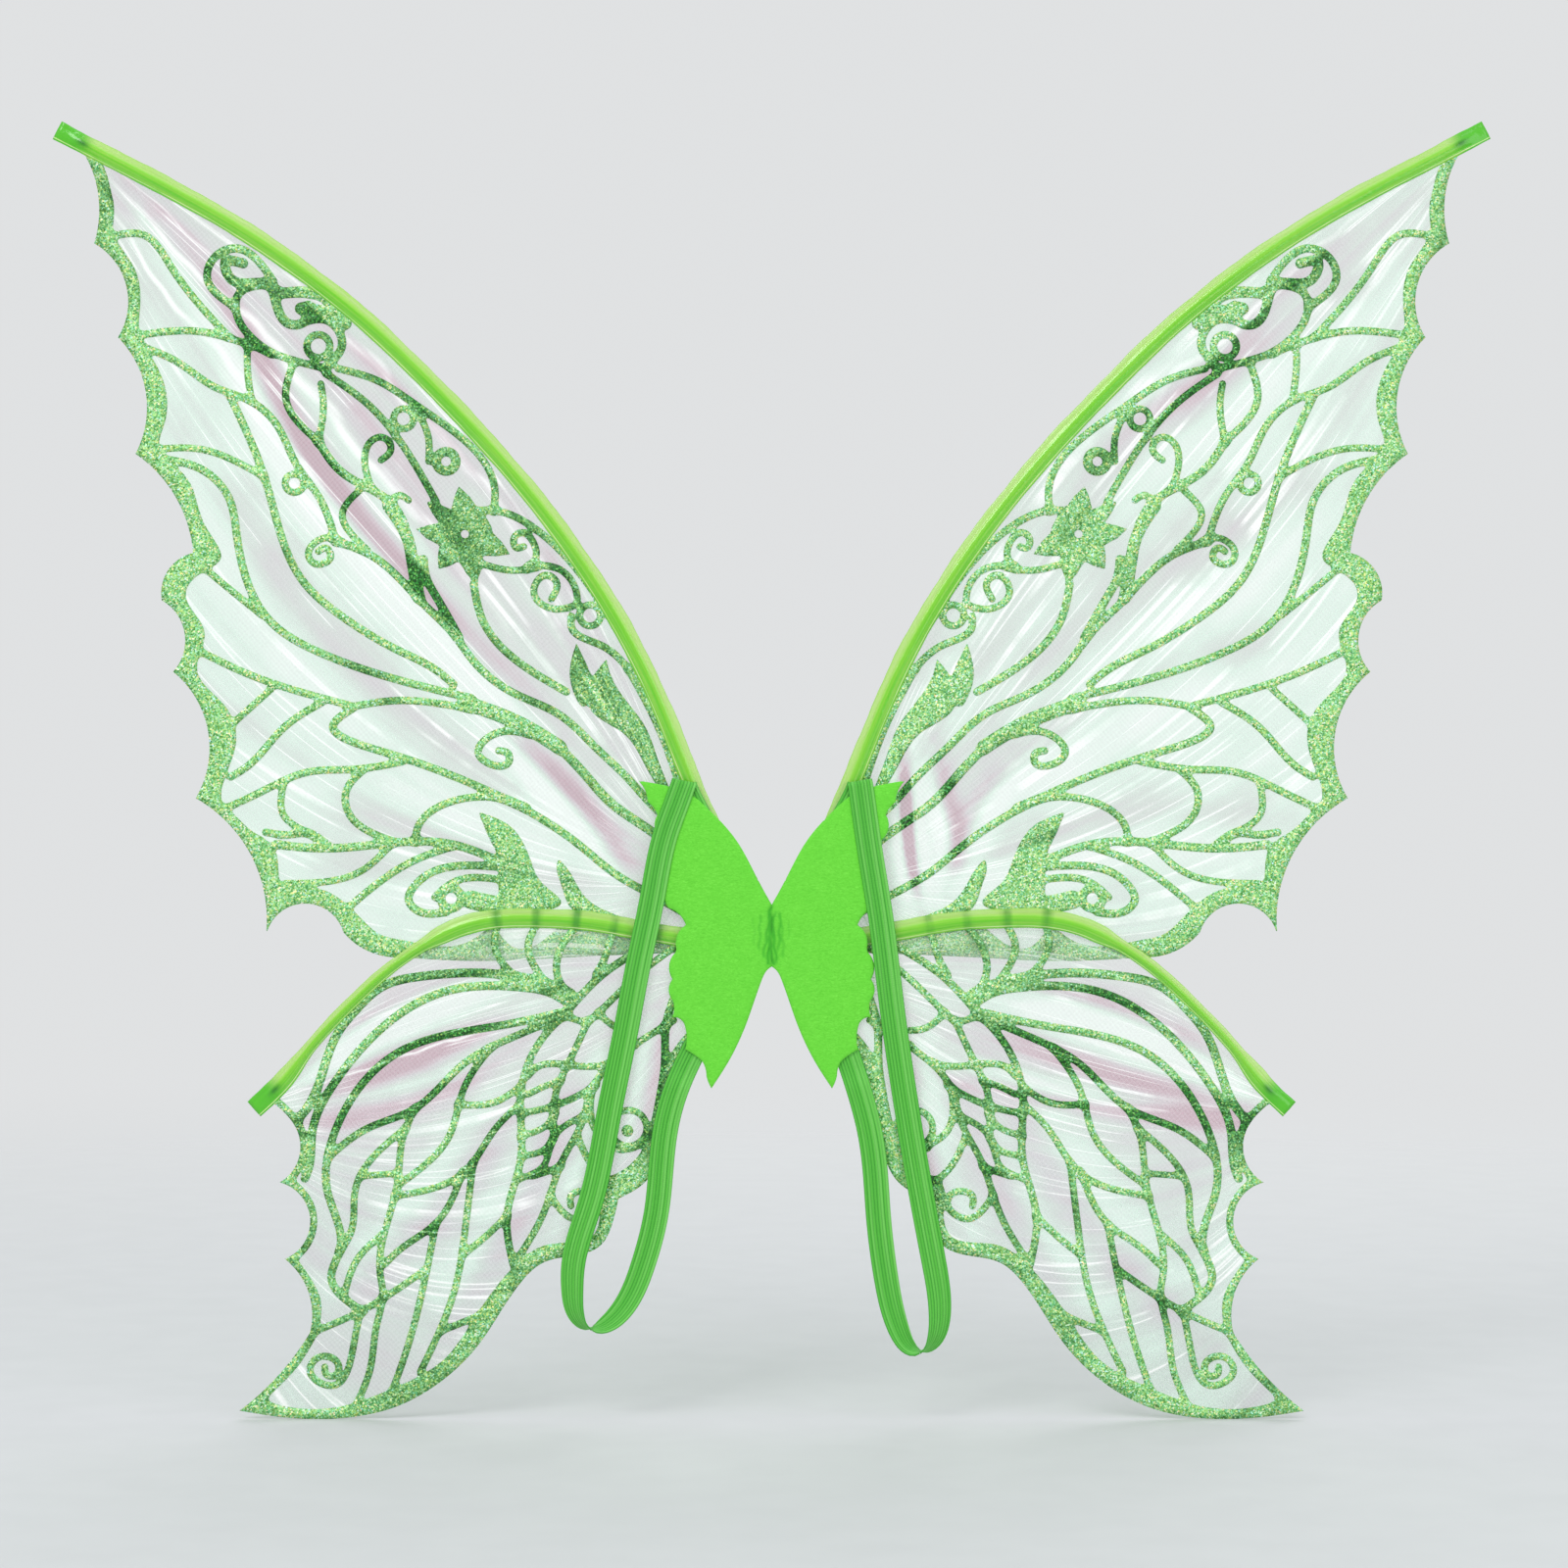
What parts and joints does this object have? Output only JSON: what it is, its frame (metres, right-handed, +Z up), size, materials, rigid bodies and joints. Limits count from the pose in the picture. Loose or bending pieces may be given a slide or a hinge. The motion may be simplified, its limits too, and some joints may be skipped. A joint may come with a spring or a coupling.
{
  "type": "fairy wings",
  "caption": "Costume butterfly wings: scalloped translucent film wings on rod-stiffened sleeves, joined by a folding felt back pad with elastic arm loops.",
  "frame": {"origin": "middle of the pad's centre crease, on the face that rests on the wearer's back", "axes": "+X across the span, +Y from the wearer's back out through the pad, +Z up as worn"},
  "size_m": [0.5736, 0.0162, 0.5172],
  "materials": {
    "felt": "soft matte felt",
    "hot_melt": "waxy",
    "elastic": "ribbed woven elastic",
    "film": "iridescent translucent organza with green glitter print",
    "sleeve": "glossy translucent vinyl",
    "rod": "drawn wire"
  },
  "bodies": {
    "crease": {"front_felt_crease": "felt", "rear_felt_crease": "felt"},
    "left_pad": {"left_front_felt": "felt", "left_rear_felt": "felt", "left_glue_core": "hot_melt", "left_loop_ends": "elastic", "left_upper_rod_root": "rod", "left_upper_sleeve_root": "sleeve", "left_upper_film_root": "film", "left_lower_rod_root": "rod", "left_lower_sleeve_root": "sleeve", "left_lower_film_root": "film"},
    "left_upper_wing": {"left_upper_rod": "rod", "left_upper_sleeve": "sleeve", "left_upper_film": "film"},
    "left_lower_wing": {"left_lower_rod": "rod", "left_lower_sleeve": "sleeve", "left_lower_film": "film"},
    "left_loop": {"left_arm_loop": "elastic"},
    "right_pad": {"right_front_felt": "felt", "right_rear_felt": "felt", "right_glue_core": "hot_melt", "right_loop_ends": "elastic", "right_upper_rod_root": "rod", "right_upper_sleeve_root": "sleeve", "right_upper_film_root": "film", "right_lower_rod_root": "rod", "right_lower_sleeve_root": "sleeve", "right_lower_film_root": "film"},
    "right_upper_wing": {"right_upper_rod": "rod", "right_upper_sleeve": "sleeve", "right_upper_film": "film"},
    "right_lower_wing": {"right_lower_rod": "rod", "right_lower_sleeve": "sleeve", "right_lower_film": "film"},
    "right_loop": {"right_arm_loop": "elastic"}
  },
  "joints": [
    {"name": "left_pad_fold", "type": "hinge", "parent": "crease", "child": "left_pad", "pos_m": [-0.00215, 0.0062, 0], "axis": [0, 0, -1], "range_deg": [0, 70]},
    {"name": "left_upper_flex", "type": "hinge", "parent": "left_pad", "child": "left_upper_wing", "pos_m": [-0.056, 0.005, 0.05], "axis": [0, 0, -1], "range_deg": [0, 20], "stiffness_Nm_per_rad": 0.3},
    {"name": "left_lower_flex", "type": "hinge", "parent": "left_pad", "child": "left_lower_wing", "pos_m": [-0.056, 0.005, -0.05], "axis": [0, 0, -1], "range_deg": [0, 16], "stiffness_Nm_per_rad": 0.2},
    {"name": "left_loop_swing", "type": "hinge", "parent": "left_pad", "child": "left_loop", "pos_m": [-0.0335, -0.0001, 0], "axis": [0, 0, 1], "range_deg": [0, 90]},
    {"name": "right_pad_fold", "type": "hinge", "parent": "crease", "child": "right_pad", "pos_m": [0.00215, 0.0062, 0], "axis": [0, 0, 1], "range_deg": [0, 70]},
    {"name": "right_upper_flex", "type": "hinge", "parent": "right_pad", "child": "right_upper_wing", "pos_m": [0.056, 0.005, 0.05], "axis": [0, 0, 1], "range_deg": [0, 20], "stiffness_Nm_per_rad": 0.3},
    {"name": "right_lower_flex", "type": "hinge", "parent": "right_pad", "child": "right_lower_wing", "pos_m": [0.056, 0.005, -0.05], "axis": [0, 0, 1], "range_deg": [0, 16], "stiffness_Nm_per_rad": 0.2},
    {"name": "right_loop_swing", "type": "hinge", "parent": "right_pad", "child": "right_loop", "pos_m": [0.0313, -0.0001, 0], "axis": [0, 0, -1], "range_deg": [0, 90]}
  ],
  "couplings": [
    {"joint": "left_lower_flex", "follows": "left_upper_flex", "ratio": 0.8},
    {"joint": "right_lower_flex", "follows": "right_upper_flex", "ratio": 0.8}
  ]
}
